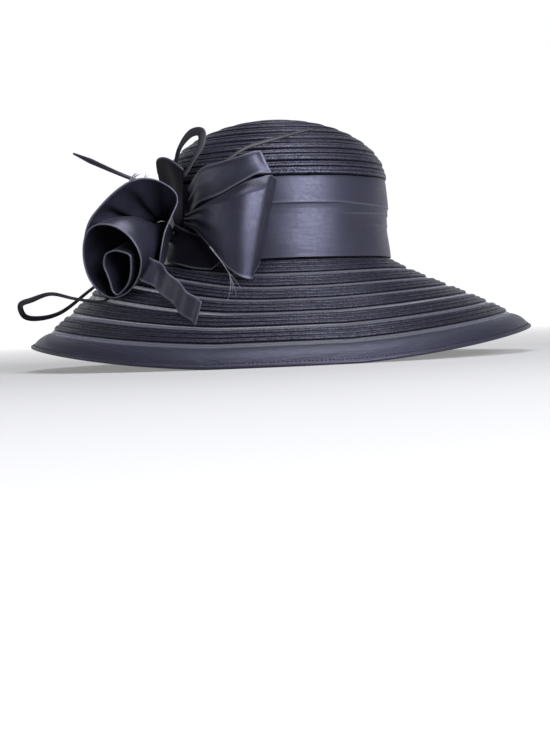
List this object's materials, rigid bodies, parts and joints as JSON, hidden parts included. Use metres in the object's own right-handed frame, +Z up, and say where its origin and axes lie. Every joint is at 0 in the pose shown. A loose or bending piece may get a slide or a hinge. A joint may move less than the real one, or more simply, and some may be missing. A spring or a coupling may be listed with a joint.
{
  "type": "sun hat",
  "caption": "Wide-brim dress sun hat in black satin braid with sheer brim rings, pleated satin band, rolled satin rose, bow and stripped quills.",
  "frame": {"origin": "on the surface the hat rests on, under the middle of the hat", "axes": "+Z up through the crown, -Y towards the front of the hat, +X to the right as seen from the front"},
  "size_m": [0.3971, 0.4066, 0.1889],
  "materials": {
    "braid": "sewn rows of black satin braid with a fine plaited relief and a soft blue-grey sheen",
    "satin": "black satin, smooth, with a soft bright sheen along its folds",
    "sheer": "sheer black organza net that lets the light through",
    "quill": "stripped and dyed black feather quill, slightly glossy"
  },
  "bodies": {
    "root": {"crown": "braid", "hat_band": "satin", "brim_braid_1": "braid", "brim_sheer_1": "sheer", "brim_braid_2": "braid", "brim_sheer_2": "sheer", "brim_braid_3": "braid", "brim_sheer_3": "sheer", "brim_braid_4": "braid", "brim_sheer_4": "sheer", "brim_braid_5": "braid", "brim_sheer_5": "sheer", "brim_braid_6": "braid", "brim_sheer_6": "sheer", "brim_edge": "satin", "rose_petal_outer": "satin", "rose_coil_middle": "satin", "rose_coil_inner": "satin", "petal_back": "satin", "bow_ribbon_upper": "satin", "bow_loop_main": "satin", "bow_loop_lower": "satin", "ribbon_tab": "satin", "quill_tip_left": "quill", "quill_tip_right": "quill", "quill_loop_upper": "quill", "quill_loop_side": "quill"}
  },
  "joints": []
}
